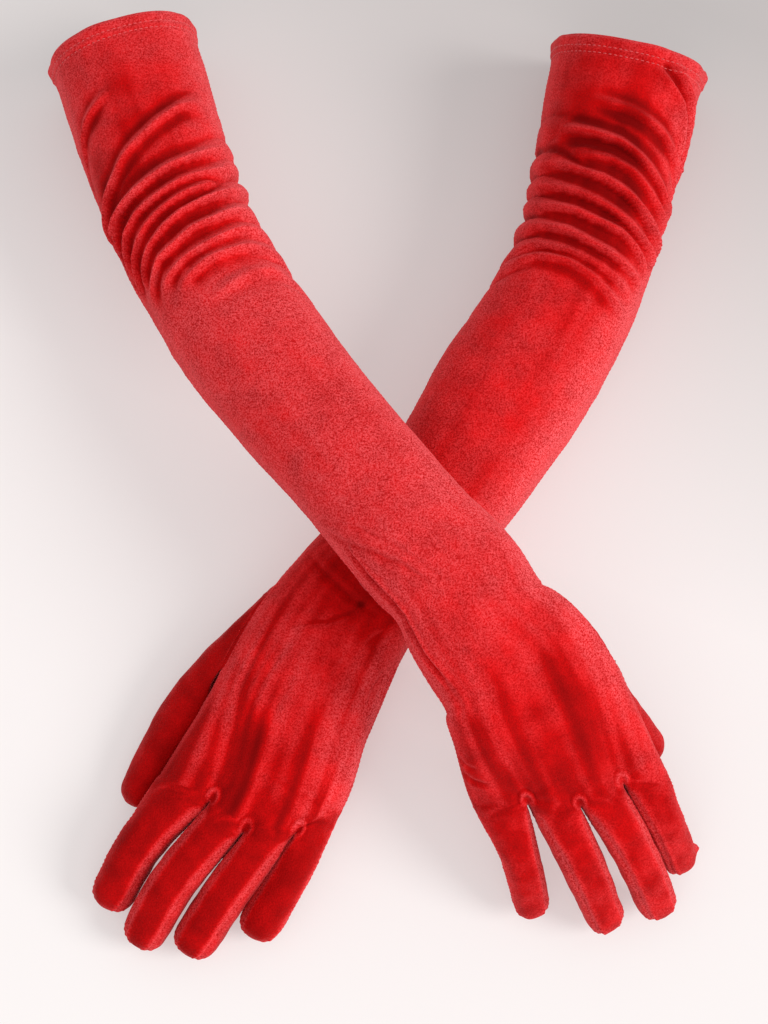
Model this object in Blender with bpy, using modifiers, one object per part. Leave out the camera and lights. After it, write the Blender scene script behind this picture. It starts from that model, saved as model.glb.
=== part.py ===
"""A pair of over-the-elbow opera gloves in red stretch velvet, keeping the shape of the arms.

The left glove lies on its flattened underside with its fingertips down. The right glove
crosses over it and comes down on its cuff and its fingertips. Fingers point to -Y.
"""
import bpy
from math import cos, sin, radians, copysign
from mathutils import Vector

MM = 0.001
UP = Vector((0.0, 0.0, 1.0))

# Cloth and seams, in millimetres.
CLOTH = 0.8            # velvet pile and knit backing
HEM_CLOTH = 1.8        # the hem is the cloth doubled
HEM_DEPTH = 11.0
HEM_GROOVE = 1.3       # between the hem and the panels, where the stitching runs
THREAD = 0.25          # radius of the hem thread
BUTT_SEAM = 0.6        # each panel stops this far from a seam along the side
CORNER_SEAM = 1.3      # and this far from a seam that runs along a corner
HINGE_GAP = 1.3        # between the hand and the root of each finger
CROTCH_GAP = 0.5       # each side of the line where two fingers part
ALLOWANCE = 3.0        # half width of the pressed-open side seam
ALLOWANCE_DEPTH = 1.25  # how far inside the outer face it lies
CONTACT = 1.6          # cloth this close to the floor lies flat on it

# Moves the middle of the pair's footprint to the origin.
SHIFT = Vector((3.8, -10.2, 0.0))

# Rings round the sleeve: 8 columns over the back, 2 down the outer side, 8 under the
# palm, 2 up the thumb side.
RING_ANGLES = ([20 + 17.5 * i for i in range(9)] + [180]
               + [200 + 17.5 * i for i in range(9)] + [360])
SLEEVE_RINGS = 22
ROUNDNESS = 2.25       # exponent of the sleeve's cross-section
OUTER_SIDE = 9         # column of the little-finger side
THUMB_SIDE = 19        # column of the thumb side

# Stations down the middle of the arm from hem to knuckles: x, y, z, half width, half height.
LEFT_ARM = [
    (123.7, 224.2, 38.5, 39.2, 39.0), (111.8, 172.4, 37.5, 36.7, 38.0),
    (101.0, 125.6, 36.0, 34.9, 36.5), (83.8, 86.6, 35.0, 36.7, 36.0),
    (62.2, 51.7, 34.0, 38.0, 34.5), (43.0, 20.9, 32.5, 35.6, 33.0),
    (23.4, -7.9, 31.0, 34.0, 31.5), (5.3, -30.5, 29.5, 33.9, 30.0),
    (-15.0, -52.8, 28.0, 33.8, 27.0), (-33.3, -81.6, 27.0, 36.3, 22.0),
    (-52.1, -124.2, 27.5, 39.0, 17.0), (-68.1, -155.2, 26.5, 40.0, 13.5),
]
RIGHT_ARM = [
    (-132.2, 229.3, 39.5, 39.2, 39.5), (-114.5, 173.4, 48.0, 36.2, 37.5),
    (-98.8, 128.2, 55.0, 35.0, 35.5), (-84.9, 101.0, 60.0, 34.7, 34.0),
    (-66.8, 70.6, 67.0, 35.3, 32.5), (-44.1, 38.5, 75.0, 33.7, 31.0),
    (-20.1, 7.6, 83.0, 32.4, 28.5), (-8.4, -7.1, 86.5, 32.2, 27.0),
    (12.5, -33.6, 90.0, 32.4, 25.5), (34.2, -56.4, 90.5, 32.7, 23.5),
    (45.1, -76.1, 88.0, 34.0, 22.0), (61.7, -95.5, 83.5, 38.5, 19.0),
    (74.8, -123.6, 73.0, 41.5, 16.0), (82.9, -141.1, 65.0, 41.5, 13.5),
]

# The line where the fingers part, on the back of the hand, from the thumb side to the
# outer side: x, y, z, and how thick the glove is there.
LEFT_CROTCH = [(-106.0, -137.8, 30.0, 11.0), (-80.9, -148.3, 35.5, 18.0),
               (-65.1, -162.9, 36.0, 18.0), (-40.6, -163.2, 34.0, 17.0),
               (-19.9, -151.4, 28.0, 11.0)]
RIGHT_CROTCH = [(130.4, -139.9, 61.0, 11.0), (110.1, -144.1, 66.0, 18.0),
                (90.4, -154.7, 66.0, 18.0), (66.1, -153.1, 64.0, 17.0),
                (43.6, -154.9, 58.0, 11.0)]
KNUCKLE_RISE = 2.5     # the cloth rises over each finger between the crotches

FINGERS = ("index", "middle", "ring", "little")
# Middle joint and fingertip (x, y, z), half width there.
LEFT_FINGERS = {
    "index": [(-115.0, -169.5, 22.0, 10.0), (-130.3, -193.9, 8.6, 8.8)],
    "middle": [(-97.0, -186.2, 24.0, 9.8), (-113.7, -211.9, 8.6, 9.0)],
    "ring": [(-73.0, -190.9, 23.0, 9.3), (-91.6, -215.2, 8.6, 9.0)],
    "little": [(-44.6, -184.8, 19.0, 8.8), (-58.8, -208.1, 8.2, 8.4)],
}
RIGHT_FINGERS = {
    "index": [(133.4, -160.8, 42.0, 9.8), (145.0, -180.4, 10.5, 8.8)],
    "middle": [(117.1, -174.0, 43.0, 9.9), (130.8, -197.6, 9.5, 9.0)],
    "ring": [(91.8, -178.6, 42.0, 10.0), (106.2, -203.2, 9.5, 9.0)],
    "little": [(63.9, -175.8, 38.0, 9.4), (71.1, -197.6, 9.5, 8.4)],
}
FINGER_RINGS = 7
SQUARE_BY = 3          # the ring by which a finger is square to its length
FINGER_DEPTH = 0.86    # half height of a finger over its half width
TIP_REACH = 7.0        # from the last full ring to the end of the finger
# A finger ring: two columns over the back, two down each side, two under the palm.
FINGER_RING = [(0.80, 0.80), (0.0, 1.0), (-0.80, 0.80), (-1.0, 0.0),
               (-0.80, -0.80), (0.0, -1.0), (0.80, -0.80), (1.0, 0.0)]
# A thumb ring starts at the same corner: two columns over the back, four down each side.
THUMB_RING = [(0.70, 0.80), (0.0, 1.0), (-0.70, 0.80), (-0.94, 0.45), (-1.0, 0.0),
              (-0.94, -0.45), (-0.70, -0.80), (0.0, -1.0), (0.70, -0.80), (0.94, -0.45),
              (1.0, 0.0), (0.94, 0.45)]

# The thumb is set into the thumb side of the hand over two rows of the sleeve.
LEFT_THUMB = ((16, 18), [(-103.5, -114.0, 13.2, 10.6), (-119.2, -142.4, 9.6, 9.0)])
RIGHT_THUMB = ((17, 19), [(114.5, -104.0, 45.0, 10.6), (127.8, -117.6, 26.0, 9.0)])
THUMB_GAP = 2.2

VELVET = (0.42, 0.008, 0.018, 1.0)
THREAD_RED = (0.30, 0.006, 0.012, 1.0)


def station_curve(stations, count):
    """Evenly spaced samples of a smooth curve through the stations."""
    knots = [0.0]
    for a, b in zip(stations, stations[1:]):
        knots.append(knots[-1] + (Vector(b[:3]) - Vector(a[:3])).length)
    last = len(stations) - 1
    slopes = []
    for i in range(last + 1):
        lo, hi = max(i - 1, 0), min(i + 1, last)
        step = knots[hi] - knots[lo]
        slopes.append([(q - p) / step for p, q in zip(stations[lo], stations[hi])])
    samples = []
    for k in range(count):
        s = knots[-1] * k / (count - 1)
        i = max(j for j in range(last) if knots[j] <= s + 1e-9)
        h = knots[i + 1] - knots[i]
        t = (s - knots[i]) / h
        blend = (2 * t ** 3 - 3 * t ** 2 + 1, (t ** 3 - 2 * t ** 2 + t) * h,
                 3 * t ** 2 - 2 * t ** 3, (t ** 3 - t ** 2) * h)
        samples.append([blend[0] * p + blend[1] * m + blend[2] * q + blend[3] * n
                        for p, m, q, n in zip(stations[i], slopes[i],
                                              stations[i + 1], slopes[i + 1])])
    return samples


def power(value, exponent):
    return copysign(abs(value) ** exponent, value)


def directions(points):
    """Unit direction of travel at each point of a path."""
    result = []
    for i in range(len(points)):
        a, b = points[max(i - 1, 0)], points[min(i + 1, len(points) - 1)]
        result.append((b - a).normalized())
    return result


def on_floor(point):
    """The cloth flattens where it lies on the floor."""
    return Vector((point.x, point.y, point.z if point.z > CONTACT else 0.0))


def arm_rings(stations, side):
    """Rings of the sleeve and hand; `side` is +1 on the right glove, -1 on the left."""
    samples = station_curve(stations, SLEEVE_RINGS)
    centres = [Vector(s[:3]) for s in samples]
    rings, frames = [], []
    for sample, centre, ahead in zip(samples, centres, directions(centres)):
        across = (UP.cross(ahead) * side).normalized()
        dorsal = ahead.cross(across) * side
        ring = []
        for angle in RING_ANGLES:
            u = power(cos(radians(angle)), 2 / ROUNDNESS) * sample[3]
            w = power(sin(radians(angle)), 2 / ROUNDNESS) * sample[4]
            ring.append(on_floor(centre + u * across + w * dorsal))
        rings.append(ring)
        frames.append((ahead, across, dorsal))
    return rings, frames


def crotch_ring(line, frame):
    """The last ring of the hand, which runs through the crotches of the fingers."""
    ahead, across, dorsal = frame
    backs = [Vector(p[:3]) for p in line]
    palms = [b - p[3] * dorsal for b, p in zip(backs, line)]
    top, bottom = [backs[0]], [palms[0]]
    for i in range(4):
        rise = KNUCKLE_RISE * dorsal
        top += [(backs[i] + backs[i + 1]) / 2 + rise, backs[i + 1]]
        bottom += [(palms[i] + palms[i + 1]) / 2 - rise, palms[i + 1]]
    outer = (backs[4] + palms[4]) / 2 - 2.5 * across
    thumb = (backs[0] + palms[0]) / 2 + 2.5 * across
    return top + [outer] + bottom[::-1] + [thumb]


def finger_base(ring, number):
    """The eight points of a finger's root on the last ring of the hand."""
    n = 2 * number
    mid_a = ring[THUMB_SIDE] if number == 0 else (ring[n] + ring[18 - n]) / 2
    mid_b = ring[OUTER_SIDE] if number == 3 else (ring[n + 2] + ring[16 - n]) / 2
    return [ring[n], ring[n + 1], ring[n + 2], mid_b,
            ring[16 - n], ring[17 - n], ring[18 - n], mid_a]


def tube_rings(base, shape, half_width, path, side, count, lead=None):
    """Rings of a finger or thumb from its root to its last full ring, and its end row.

    A finger's section is level. A thumb's is turned so that its inner side faces `lead`.
    """
    root = sum(base, Vector()) / len(base)
    stations = [(*root, half_width)] + list(path)
    samples = station_curve(stations, count)
    centres = [Vector(s[:3]) for s in samples]
    rings = [base]
    for i, (sample, centre, ahead) in enumerate(zip(samples, centres, directions(centres))):
        if i == 0:
            continue
        across = (UP.cross(ahead) * side).normalized()
        if lead:
            across = (lead.dot(ahead) * ahead - lead).normalized()
        dorsal = ahead.cross(across) * side
        half = sample[3] * (0.86 if i == count - 1 else 1.0)
        square = min(i / SQUARE_BY, 1.0)
        ring = []
        for (x, z), start in zip(shape, base):
            point = centre + x * half * across + z * half * FINGER_DEPTH * dorsal
            ring.append(on_floor((start - root + centre).lerp(point, square)))
        rings.append(ring)
    end = centres[-1] + TIP_REACH * ahead
    tip = [on_floor(end + x * half * across) for x in (0.55, 0.0, -0.55)]
    return rings, tip


def inset(row, first, last):
    """Draws the two ends of a row in from their seams."""
    row = [p.copy() for p in row]
    start, end = (row[1] - row[0]).normalized(), (row[-2] - row[-1]).normalized()
    row[0] += start * first
    row[-1] += end * last
    return row


def shorten(row, following, distance):
    return [p + (q - p).normalized() * distance for p, q in zip(row, following)]


def material(name, colour):
    mat = bpy.data.materials.new(name)
    mat.use_nodes = True
    shader = mat.node_tree.nodes["Principled BSDF"]
    shader.inputs["Base Color"].default_value = colour
    shader.inputs["Roughness"].default_value = 0.85
    return mat


def place(name, data, origin, colour):
    obj = bpy.data.objects.new(name, data)
    obj.location = origin
    data.materials.append(material(name + "_mat", colour))
    collection.objects.link(obj)
    return obj


def cloth_piece(name, rows, outward, thickness=CLOTH, closed=False, cap=False,
                skip=(), origin=Vector()):
    """A sheet of cloth through rows of points, thickened inward.

    `outward` is a direction the first face should roughly face; `skip` lists (row, column)
    cells left open.
    """
    wide = len(rows[0])
    spans = wide if closed else wide - 1
    shift = SHIFT
    verts = [(p + shift) * MM - origin for row in rows for p in row]
    faces = []
    for r in range(len(rows) - 1):
        for c in range(spans):
            if (r, c) not in skip:
                d = (c + 1) % wide
                faces.append((r * wide + c, r * wide + d, (r + 1) * wide + d, (r + 1) * wide + c))
    if cap:
        faces.append(tuple((len(rows) - 1) * wide + c for c in range(wide)))
    a, b, c, d = (verts[i] for i in faces[0])
    if (c - a).cross(d - b).dot(outward) < 0:
        faces = [f[::-1] for f in faces]
    used = sorted({i for f in faces for i in f})
    index = {v: i for i, v in enumerate(used)}
    mesh = bpy.data.meshes.new(name)
    mesh.from_pydata([verts[i] for i in used], [], [[index[i] for i in f] for f in faces])
    mesh.polygons.foreach_set("use_smooth", [True] * len(mesh.polygons))
    obj = place(name, mesh, origin, VELVET)
    shell = obj.modifiers.new("cloth thickness", "SOLIDIFY")
    shell.thickness = thickness * MM
    shell.offset = -1.0
    return obj


def thread_ring(name, points, radius):
    curve = bpy.data.curves.new(name, "CURVE")
    curve.dimensions = "3D"
    curve.bevel_depth = radius * MM
    curve.bevel_resolution = 1
    line = curve.splines.new("POLY")
    line.points.add(len(points) - 1)
    for vertex, p in zip(line.points, points):
        vertex.co = (*((p + SHIFT) * MM), 1.0)
    line.use_cyclic_u = True
    return place(name, curve, Vector(), THREAD_RED)


def between(a, b, t):
    return [p.lerp(q, t) for p, q in zip(a, b)]


def cuff(prefix, rings):
    """The turned-up hem, its stitching, and where the panels start."""
    step = (rings[1][0] - rings[0][0]).length
    edge = between(rings[0], rings[1], HEM_DEPTH / step)
    cloth_piece(prefix + "cuff_hem", [rings[0], edge], rings[0][4] - rings[0][14],
                thickness=HEM_CLOTH, closed=True)
    line = between(rings[0], rings[1], (HEM_DEPTH + HEM_GROOVE / 2) / step)
    centre = sum(line, Vector()) / len(line)
    thread_ring(prefix + "hem_stitching",
                [p + (centre - p).normalized() * (THREAD + 0.1) for p in line], THREAD)
    return between(rings[0], rings[1], (HEM_DEPTH + HEM_GROOVE) / step)


def side_seam(prefix, rows):
    """The pressed-open allowance inside the seam of the little-finger side."""
    strip = []
    for row in rows:
        centre = sum(row, Vector()) / len(row)
        a, b, c = (row[OUTER_SIDE + k] for k in (-1, 0, 1))
        inward = (centre - b).normalized() * ALLOWANCE_DEPTH
        strip.append([b + (a - b).normalized() * ALLOWANCE + inward, b + inward,
                      b + (c - b).normalized() * ALLOWANCE + inward])
    first = strip[0][1]
    centre = sum(rows[0], Vector()) / len(rows[0])
    cloth_piece(prefix + "side_seam", strip, first - centre)


def finger(prefix, number, rings, tip, forward):
    """Back, palm and fourchettes of one finger, turning about the back of its root."""
    name = prefix + FINGERS[number]
    dorsal = rings[1][1] - rings[1][5]
    across = rings[1][7] - rings[1][3]
    root = [p + forward * HINGE_GAP for p in rings[0]]
    for columns, toward in (((6, 7, 0), 3), ((2, 3, 4), 7)):
        if (number, toward) not in ((0, 3), (3, 7)):
            for c in columns:
                root[c] += (rings[0][toward] - rings[0][c]).normalized() * CROTCH_GAP
    rings = [root] + rings[1:]
    origin = (root[1] + SHIFT) * MM

    def strip(columns, first, last, ends, reach):
        rows = [inset([ring[c] for c in columns], first, last) for ring in rings]
        rows.append([p.lerp(q, reach) for p, q in zip(rows[-1], ends)])
        return rows

    first = BUTT_SEAM if number == 0 else CORNER_SEAM
    last = BUTT_SEAM if number == 3 else CORNER_SEAM
    back, ends = [0, 1, 2], list(tip)
    palm = [6, 5, 4]
    if number == 0:
        back, palm, ends = [7] + back, [7] + palm, [tip[0]] + ends
    if number == 3:
        back, palm, ends = back + [3], palm + [3], ends + [tip[2]]
    cloth_piece(name + "_back", strip(back, first, last, ends, 0.74), dorsal, origin=origin)
    cloth_piece(name + "_palm", strip(palm, first, last, ends, 0.74), -dorsal, origin=origin)
    if number > 0:
        cloth_piece(name + "_fourchette_inner" if number < 3 else name + "_fourchette",
                    strip([0, 7, 6], CORNER_SEAM, CORNER_SEAM, [tip[0]] * 3, 0.55),
                    across, origin=origin)
    if number < 3:
        cloth_piece(name + "_fourchette_outer" if number > 0 else name + "_fourchette",
                    strip([2, 3, 4], CORNER_SEAM, CORNER_SEAM, [tip[2]] * 3, 0.55),
                    -across, origin=origin)


def thumb(prefix, rings, rows, path, side, hand_frame):
    """The set-in thumb, one piece of cloth from the hole in the hand to its closed tip."""
    i, j = rows
    m = (i + j) // 2
    hole = ([rings[r][0] for r in (i, m, j)] + [rings[j][c] for c in (19, 18, 17)]
            + [rings[r][16] for r in (j, m, i)] + [rings[i][c] for c in (17, 18, 19)])
    lead, outward, _ = hand_frame
    root = sum(hole, Vector()) / len(hole)
    forward = (Vector(path[0][:3]) - root).normalized()
    base = [p + (0.85 * outward + 0.15 * forward) * THUMB_GAP for p in hole]
    tube, tip = tube_rings(base, THUMB_RING, path[0][3], path, side, FINGER_RINGS, lead)
    centre = sum(tube[-1], Vector()) / len(hole)
    ahead = (tip[1] - centre).normalized()
    tube.append([centre + (p - centre) * 0.55 + ahead * TIP_REACH * 0.75 for p in tube[-1]])
    tube[-1] = [on_floor(p) for p in tube[-1]]
    hinge = (base[0] + SHIFT) * MM
    cloth_piece(prefix + "thumb", tube, base[1] - base[7], closed=True, cap=True, origin=hinge)


def glove(prefix, side, arm, crotch, fingers, thumb_plan):
    rings, frames = arm_rings(arm, side)
    last = crotch_ring(crotch, frames[-1])
    rings[-2:] = [between(rings[-3], last, 0.5), last]
    panels = [cuff(prefix, rings)] + rings[1:]
    rows, thumb_path = thumb_plan
    across = frames[0][1]
    hole = range(rows[0], rows[1])

    back = [[row[THUMB_SIDE]] + row[:OUTER_SIDE + 1] for row in panels]
    cloth_piece(prefix + "back_panel", [inset(r, BUTT_SEAM, BUTT_SEAM) for r in back],
                across, skip=[(r, 0) for r in hole])
    palm = [row[OUTER_SIDE:THUMB_SIDE + 1][::-1] for row in panels]
    cloth_piece(prefix + "palm_panel", [inset(r, BUTT_SEAM, BUTT_SEAM) for r in palm],
                across, skip=[(r, c) for r in hole for c in range(3)])
    side_seam(prefix, panels[:-1])

    for number, name in enumerate(FINGERS):
        base = finger_base(rings[-1], number)
        path = fingers[name]
        width = (path[0][3] + (base[7] - base[3]).length / 2) / 2
        tube, tip = tube_rings(base, FINGER_RING, width, path, side, FINGER_RINGS)
        forward = (sum(tube[2], Vector()) / 8 - sum(base, Vector()) / 8).normalized()
        finger(prefix, number, tube, tip, forward)
    thumb(prefix, rings, rows, thumb_path, side, frames[rows[1] - 1])


for old in list(bpy.data.objects):
    bpy.data.objects.remove(old, do_unlink=True)
collection = bpy.data.collections.new("opera_gloves")
bpy.context.scene.collection.children.link(collection)

glove("left_", -1, LEFT_ARM, LEFT_CROTCH, LEFT_FINGERS, LEFT_THUMB)
glove("right_", 1, RIGHT_ARM, RIGHT_CROTCH, RIGHT_FINGERS, RIGHT_THUMB)
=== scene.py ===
"""Looks of a pair of over-the-elbow opera gloves in red stretch velvet.

Each glove is grown as one smooth quad cage over the sleeve, hand, fingers and thumb, subdivided,
displaced into folds, wrinkles and seams, and then cut into its real pieces.
"""
from math import ceil, cos, pi, radians, sin

import bpy
import numpy as np
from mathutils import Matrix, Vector, noise


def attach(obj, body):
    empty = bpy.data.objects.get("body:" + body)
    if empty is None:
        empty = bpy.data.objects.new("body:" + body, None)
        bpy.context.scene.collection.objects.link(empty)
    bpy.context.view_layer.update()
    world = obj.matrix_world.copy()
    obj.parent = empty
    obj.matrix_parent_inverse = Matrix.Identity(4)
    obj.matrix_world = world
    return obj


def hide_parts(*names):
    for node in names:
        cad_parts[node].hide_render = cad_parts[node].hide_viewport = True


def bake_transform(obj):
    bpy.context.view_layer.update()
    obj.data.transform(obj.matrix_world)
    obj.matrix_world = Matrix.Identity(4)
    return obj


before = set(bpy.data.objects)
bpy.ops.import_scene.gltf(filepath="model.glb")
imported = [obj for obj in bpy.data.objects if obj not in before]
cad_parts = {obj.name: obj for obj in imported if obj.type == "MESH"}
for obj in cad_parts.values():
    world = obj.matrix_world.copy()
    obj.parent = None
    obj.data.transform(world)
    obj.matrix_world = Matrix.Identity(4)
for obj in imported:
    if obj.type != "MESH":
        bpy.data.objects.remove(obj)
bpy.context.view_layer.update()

MM = 0.001
SHIFT = np.array([3.8, -10.2, 0.0])
UP = np.array([0.0, 0.0, 1.0])

# ---------------------------------------------------------------- stations (mm)
# x, y, z, half width, half height down the middle of the arm, hem to knuckles.
ARM = {
    "left": [
        (123.7, 224.2, 38.5, 39.2, 39.0), (111.8, 172.4, 37.5, 36.7, 38.0),
        (101.0, 125.6, 36.0, 34.6, 36.5), (83.8, 86.6, 35.0, 36.4, 36.0),
        (62.2, 51.7, 34.0, 38.0, 34.5), (43.0, 20.9, 32.5, 35.6, 33.0),
        (23.4, -7.9, 31.0, 34.0, 31.5), (5.3, -30.5, 29.5, 33.9, 30.0),
        (-15.0, -52.8, 28.0, 34.8, 27.0), (-33.3, -81.6, 27.0, 38.4, 22.0),
        (-52.9, -124.2, 27.5, 39.8, 17.0), (-68.1, -155.2, 26.5, 40.0, 13.5),
    ],
    "right": [
        (-132.2, 229.3, 39.5, 37.6, 38.5), (-114.5, 173.4, 48.0, 36.2, 37.5),
        (-98.8, 128.2, 55.0, 34.6, 35.5), (-84.9, 101.0, 60.0, 34.5, 34.0),
        (-66.8, 70.6, 67.0, 35.3, 32.5), (-44.1, 38.5, 75.0, 33.7, 31.0),
        (-20.1, 7.6, 83.0, 32.4, 28.5), (-8.4, -7.1, 86.5, 32.2, 27.0),
        (12.5, -33.6, 90.0, 32.6, 25.5), (34.2, -56.4, 90.5, 33.6, 23.5),
        (45.1, -76.1, 88.0, 35.4, 22.0), (62.6, -95.0, 83.5, 41.4, 19.0),
        (75.4, -123.3, 73.0, 43.6, 16.0), (82.9, -141.1, 65.0, 41.5, 13.5),
    ],
}
# The last arm ring before the hand runs on to the crotch line, mm from the hem.
ARM_END = {"left": 372.0, "right": 384.0}
# Crotch line on the back of the hand, thumb side to outer side: x, y, z, thickness.
CROTCH = {
    "left": [(-106.0, -137.8, 30.0, 13.0), (-80.9, -148.3, 35.5, 18.0),
             (-65.1, -162.9, 36.0, 18.0), (-40.6, -163.2, 34.0, 17.0),
             (-21.6, -151.6, 28.0, 13.0)],
    "right": [(130.4, -139.9, 61.0, 13.0), (110.1, -144.1, 66.0, 18.0),
              (90.4, -154.7, 66.0, 18.0), (66.1, -153.1, 64.0, 17.0),
              (43.6, -154.9, 58.0, 13.0)],
}
FINGERS = ("index", "middle", "ring", "little")
# Middle joint and fingertip: x, y, z, half width.
FINGER = {
    "left": {"index": [(-116.4, -169.5, 22.0, 12.3), (-132.0, -196.2, 9.4, 11.5)],
             "middle": [(-99.4, -186.2, 24.0, 12.3), (-116.9, -214.4, 9.8, 11.6)],
             "ring": [(-74.0, -190.9, 23.0, 12.0), (-93.0, -218.2, 9.8, 12.1)],
             "little": [(-46.4, -184.8, 19.0, 11.3), (-62.2, -210.4, 9.6, 11.7)]},
    "right": {"index": [(131.2, -159.8, 42.0, 10.2), (142.4, -177.6, 11.2, 9.4)],
              "middle": [(116.9, -174.0, 43.0, 11.3), (131.8, -199.2, 10.4, 10.4)],
              "ring": [(92.2, -178.6, 42.0, 11.5), (107.0, -206.0, 10.2, 10.0)],
              "little": [(63.9, -175.8, 38.0, 10.2), (71.3, -199.4, 9.8, 9.4)]},
}
# Thumb hole along the sleeve (mm from the hem), then the thumb's stations out to its tip.
THUMB = {
    "left": ((328.0, 370.0), [(-83.0, -88.5, 17.5, 13.2), (-103.4, -114.6, 14.0, 11.2),
                              (-121.0, -146.4, 9.8, 9.6)]),
    "right": ((358.0, 400.0), [(112.0, -107.5, 44.0, 9.2), (129.4, -125.2, 26.0, 8.4)]),
}

# Exponents of the rounded-square sections: 2 is an ellipse, more is squarer.
ARM_SQUARENESS, FINGER_SQUARENESS, THUMB_SQUARENESS = 2.25, 2.2, 2.15
HEM = 11.0
ROW = 8.0           # between cage rings down the arm
HAND_ROW = 8.5      # and from the wrist to the crotch line
MOUTH_SLANT = 6.0   # how far the top of the cuff's mouth is drawn back
COLUMNS = ([20 + 140 / 12 * i for i in range(13)] + [180]
           + [200 + 140 / 12 * i for i in range(13)] + [360])
OUTER, THUMB_COL = 13, 27   # the columns on the two side seams

# Face parts, kept through subdivision as material slots.
PARTS = (["hem", "back_panel", "palm_panel", "thumb"]
         + [f"{f}_{p}" for f in FINGERS for p in ("back", "palm", "inner", "outer")])
PART = {name: i for i, name in enumerate(PARTS)}


# ---------------------------------------------------------------- small maths
def unit(v):
    v = np.asarray(v, float)
    return v / np.maximum(np.linalg.norm(v, axis=-1, keepdims=True), 1e-9)


def rounded_square(angles, squareness):
    """Across and up for each angle round a section that is one wide and one high."""
    sides = np.cos(angles), np.sin(angles)
    return [np.sign(v) * np.abs(v) ** (2 / squareness) for v in sides]


def smooth(a, b, x):
    t = np.clip((x - a) / (b - a), 0, 1)
    return t * t * (3 - 2 * t)


def hermite(t, a, b, slope_a, slope_b):
    return ((2 * t ** 3 - 3 * t ** 2 + 1) * a + (t ** 3 - 2 * t ** 2 + t) * slope_a
            + (3 * t ** 2 - 2 * t ** 3) * b + (t ** 3 - t ** 2) * slope_b)


def bell(x, width):
    return np.exp(-(x / width) ** 2)


def station_lengths(stations):
    steps = np.linalg.norm(np.diff(stations[:, :3], axis=0), axis=1)
    return np.concatenate([[0.0], np.cumsum(steps)])


def along(stations, where):
    """Smooth curve through the stations, sampled at arc lengths `where`."""
    st = np.asarray(stations, float)
    k = station_lengths(st)
    n = len(st) - 1
    lo, hi = np.maximum(np.arange(n + 1) - 1, 0), np.minimum(np.arange(n + 1) + 1, n)
    slope = (st[hi] - st[lo]) / (k[hi] - k[lo])[:, None]
    s = np.asarray(where, float)
    i = np.clip(np.searchsorted(k, s, side="right") - 1, 0, n - 1)
    h = (k[i + 1] - k[i])[:, None]
    t = ((s - k[i]) / h[:, 0])[:, None]
    return hermite(t, st[i], st[i + 1], h * slope[i], h * slope[i + 1])


def frames_of(centres, side, lead=None):
    """Direction of travel, direction to the thumb side, and dorsal direction."""
    ahead = unit(np.gradient(centres, axis=0))
    if lead is None:
        across = unit(np.cross(UP, ahead) * side)
    else:
        across = unit((ahead @ lead)[:, None] * ahead - lead)
    return ahead, across, np.cross(ahead, across) * side


# ---------------------------------------------------------------- the cage
class Cage:
    """Quads with a face part, and per-vertex numbers that survive subdivision."""

    # mm from the hem, cosine and sine of the angle round, 1 on the sleeve and hand, 1 on a seam
    CHANNELS = ("s", "ct", "st", "arm", "seam")

    def __init__(self):
        self.points, self.values, self.faces, self.parts = [], [], [], []

    def add(self, point, **values):
        self.points.append(point)
        self.values.append([values.get(c, 0.0) for c in self.CHANNELS])
        return len(self.points) - 1

    def mark(self, index, channel, value):
        self.values[index][self.CHANNELS.index(channel)] = value

    def quad(self, a, b, c, d, part):
        self.faces.append((a, b, c, d))
        self.parts.append(PART[part])

    def band(self, lower, upper, part_of, closed=True, skip=()):
        n = len(lower)
        for c in range(n if closed else n - 1):
            if c not in skip:
                d = (c + 1) % n
                self.quad(lower[c], lower[d], upper[d], upper[c], part_of(c))


def arm_part(column):
    return "back_panel" if column < OUTER or column == THUMB_COL else "palm_panel"


def finger_columns(k):
    """Hand columns round finger k, from its back corner on the thumb side."""
    top = [3 * k + i for i in range(4)]
    bottom = [23 - 3 * k + i for i in range(4)]
    return top, bottom


def cap(cage, ring, nx, ny, ahead, reach, part_of, values):
    """Closes a ring with a bulging nx by ny grid."""
    top = ring[:nx + 1]
    side_b = ring[nx:nx + ny + 1]
    bottom = ring[nx + ny:2 * nx + ny + 1][::-1]
    side_a = [ring[0]] + ring[2 * nx + ny:][::-1]
    at = {i: np.array(cage.points[i]) for i in ring}
    grid = {(i, 0): top[i] for i in range(nx + 1)}
    grid |= {(i, ny): bottom[i] for i in range(nx + 1)}
    grid |= {(0, j): side_a[j] for j in range(ny + 1)}
    grid |= {(nx, j): side_b[j] for j in range(ny + 1)}
    for j in range(1, ny):
        for i in range(1, nx):
            u, v = i / nx, j / ny
            q = ((1 - v) * at[top[i]] + v * at[bottom[i]] + (1 - u) * at[side_a[j]]
                 + u * at[side_b[j]] - (1 - u) * (1 - v) * at[top[0]]
                 - u * (1 - v) * at[top[nx]] - (1 - u) * v * at[bottom[0]]
                 - u * v * at[bottom[nx]])
            bulge = (16 * u * (1 - u) * v * (1 - v)) ** 0.5
            grid[i, j] = cage.add(q + ahead * reach * bulge, **values)
    for j in range(ny):
        for i in range(nx):
            cage.quad(grid[i, j], grid[i + 1, j], grid[i + 1, j + 1], grid[i, j + 1],
                      part_of(j))


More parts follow.
